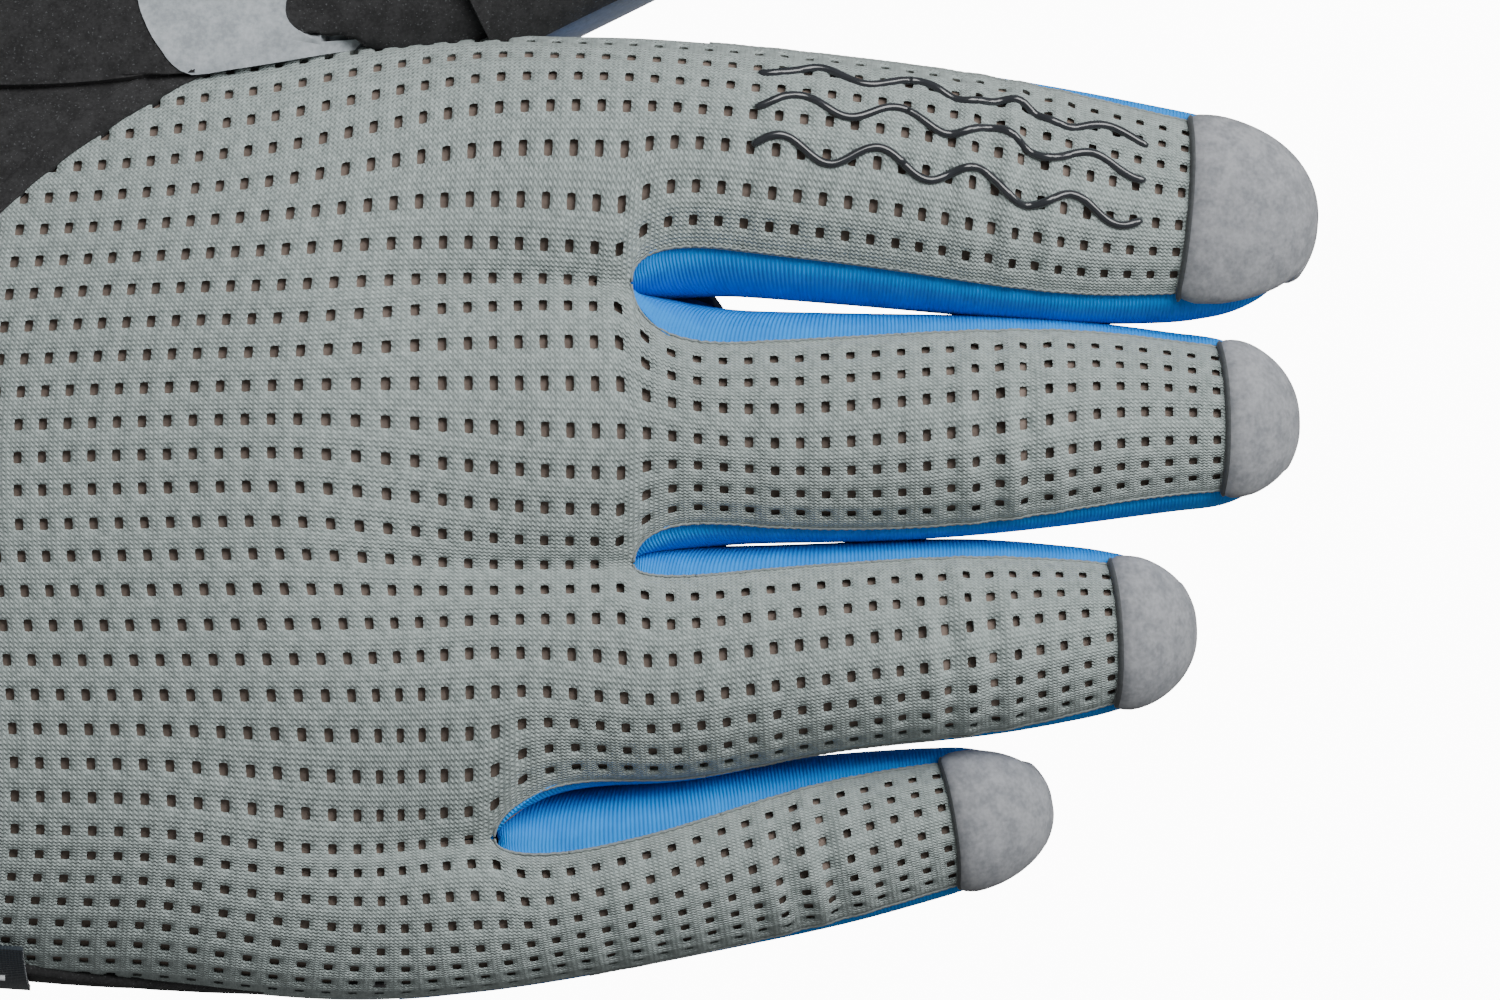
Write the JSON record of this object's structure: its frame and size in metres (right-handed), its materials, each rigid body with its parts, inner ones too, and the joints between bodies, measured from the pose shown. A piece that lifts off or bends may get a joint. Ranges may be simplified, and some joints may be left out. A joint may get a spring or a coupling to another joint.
{
  "type": "sailing glove",
  "caption": "Right-hand sailing glove with a perforated knit back, blue stretch finger sides, suede palm and tips, folding fingers and a peel-open wrist strap.",
  "frame": {"origin": "middle of the glove's box, on the surface its palm patches lie on", "axes": "+X from the cuff to the fingertips, +Y towards the thumb, +Z out of the back of the hand"},
  "size_m": [0.2388, 0.1288, 0.045],
  "materials": {
    "knit": "perforated knit",
    "suede_grey": "matte",
    "suede_light": "matte",
    "wrist_fabric": "brushed",
    "stretch_blue": "ribbed",
    "patch": "embossed",
    "webbing": "woven",
    "hook_loop": "napped",
    "label": "woven",
    "care": "woven",
    "print": "gloss"
  },
  "bodies": {
    "hand": {"back_mesh": "knit", "wrist_back_panel": "wrist_fabric", "palm_panel": "suede_grey", "wrist_palm_panel": "wrist_fabric", "ulnar_side_panel": "wrist_fabric", "thumb_gusset": "suede_light", "index_outer_side": "stretch_blue", "little_outer_side": "stretch_blue", "fourchette_index_middle": "stretch_blue", "fourchette_middle_ring": "stretch_blue", "fourchette_ring_little": "stretch_blue", "palm_patch": "patch", "heel_patch": "patch", "cuff_binding": "webbing", "strap_anchor": "webbing", "strap_loop_patch": "hook_loop", "woven_label": "label", "care_label": "care", "hang_loop": "webbing"},
    "index_lower": {"index_back_lower": "knit", "index_sides_lower": "stretch_blue", "index_palm_lower": "suede_grey", "wave_print_lower": "print"},
    "index_upper": {"index_back_upper": "knit", "index_sides_upper": "stretch_blue", "index_palm_upper": "suede_grey", "index_tip_cap": "suede_light", "wave_print_upper": "print"},
    "middle_lower": {"middle_back_lower": "knit", "middle_sides_lower": "stretch_blue", "middle_palm_lower": "suede_grey"},
    "middle_upper": {"middle_back_upper": "knit", "middle_sides_upper": "stretch_blue", "middle_palm_upper": "suede_grey", "middle_tip_cap": "suede_light"},
    "ring_lower": {"ring_back_lower": "knit", "ring_sides_lower": "stretch_blue", "ring_palm_lower": "suede_grey"},
    "ring_upper": {"ring_back_upper": "knit", "ring_sides_upper": "stretch_blue", "ring_palm_upper": "suede_grey", "ring_tip_cap": "suede_light"},
    "little_lower": {"little_back_lower": "knit", "little_sides_lower": "stretch_blue", "little_palm_lower": "suede_grey"},
    "little_upper": {"little_back_upper": "knit", "little_sides_upper": "stretch_blue", "little_palm_upper": "suede_grey", "little_tip_cap": "suede_light"},
    "thumb_lower": {"thumb_back_lower": "wrist_fabric", "thumb_palm_lower": "suede_grey"},
    "thumb_upper": {"thumb_back_upper": "wrist_fabric", "thumb_palm_upper": "suede_grey", "thumb_tip_cap": "suede_light"},
    "strap": {"closure_strap": "webbing", "strap_hook_patch": "hook_loop", "strap_pull_tab": "stretch_blue"}
  },
  "joints": [
    {"name": "index_base_fold", "type": "hinge", "parent": "hand", "child": "index_lower", "pos_m": [0.06912, 0.01477, 0.017], "axis": [0.0889, 0.996, 0], "range_deg": [-15, 65], "stiffness_Nm_per_rad": 0.03},
    {"name": "index_middle_fold", "type": "hinge", "parent": "index_lower", "child": "index_upper", "pos_m": [0.09004, 0.0129, 0.0152], "axis": [0.0889, 0.996, 0], "range_deg": [-10, 75], "stiffness_Nm_per_rad": 0.02},
    {"name": "middle_base_fold", "type": "hinge", "parent": "hand", "child": "middle_lower", "pos_m": [0.06918, -0.00947, 0.0172], "axis": [-0.0087, 1, 0], "range_deg": [-15, 65], "stiffness_Nm_per_rad": 0.03},
    {"name": "middle_middle_fold", "type": "hinge", "parent": "middle_lower", "child": "middle_upper", "pos_m": [0.09018, -0.00929, 0.015], "axis": [-0.0087, 1, 0], "range_deg": [-10, 75], "stiffness_Nm_per_rad": 0.02},
    {"name": "ring_base_fold", "type": "hinge", "parent": "hand", "child": "ring_lower", "pos_m": [0.06816, -0.03117, 0.0162], "axis": [-0.0523, 0.9986, 0], "range_deg": [-15, 65], "stiffness_Nm_per_rad": 0.03},
    {"name": "ring_middle_fold", "type": "hinge", "parent": "ring_lower", "child": "ring_upper", "pos_m": [0.08614, -0.03023, 0.0138], "axis": [-0.0523, 0.9986, 0], "range_deg": [-10, 75], "stiffness_Nm_per_rad": 0.02},
    {"name": "little_base_fold", "type": "hinge", "parent": "hand", "child": "little_lower", "pos_m": [0.055, -0.05276, 0.0134], "axis": [-0.1599, 0.9871, 0], "range_deg": [-15, 65], "stiffness_Nm_per_rad": 0.03},
    {"name": "little_middle_fold", "type": "hinge", "parent": "little_lower", "child": "little_upper", "pos_m": [0.07079, -0.0502, 0.011], "axis": [-0.1599, 0.9871, 0], "range_deg": [-10, 75], "stiffness_Nm_per_rad": 0.02},
    {"name": "thumb_base_fold", "type": "hinge", "parent": "hand", "child": "thumb_lower", "pos_m": [0.04108, 0.03914, 0.01324], "axis": [-0.4384, 0.8988, 0], "range_deg": [-10, 40], "stiffness_Nm_per_rad": 0.03},
    {"name": "thumb_tip_fold", "type": "hinge", "parent": "thumb_lower", "child": "thumb_upper", "pos_m": [0.05816, 0.04747, 0.012], "axis": [-0.4384, 0.8988, 0], "range_deg": [-10, 60], "stiffness_Nm_per_rad": 0.02},
    {"name": "strap_peel", "type": "hinge", "parent": "hand", "child": "strap", "pos_m": [-0.06832, -0.05452, 0.03426], "axis": [0.9977, -0.0283, -0.0617], "range_deg": [0, 110]}
  ]
}
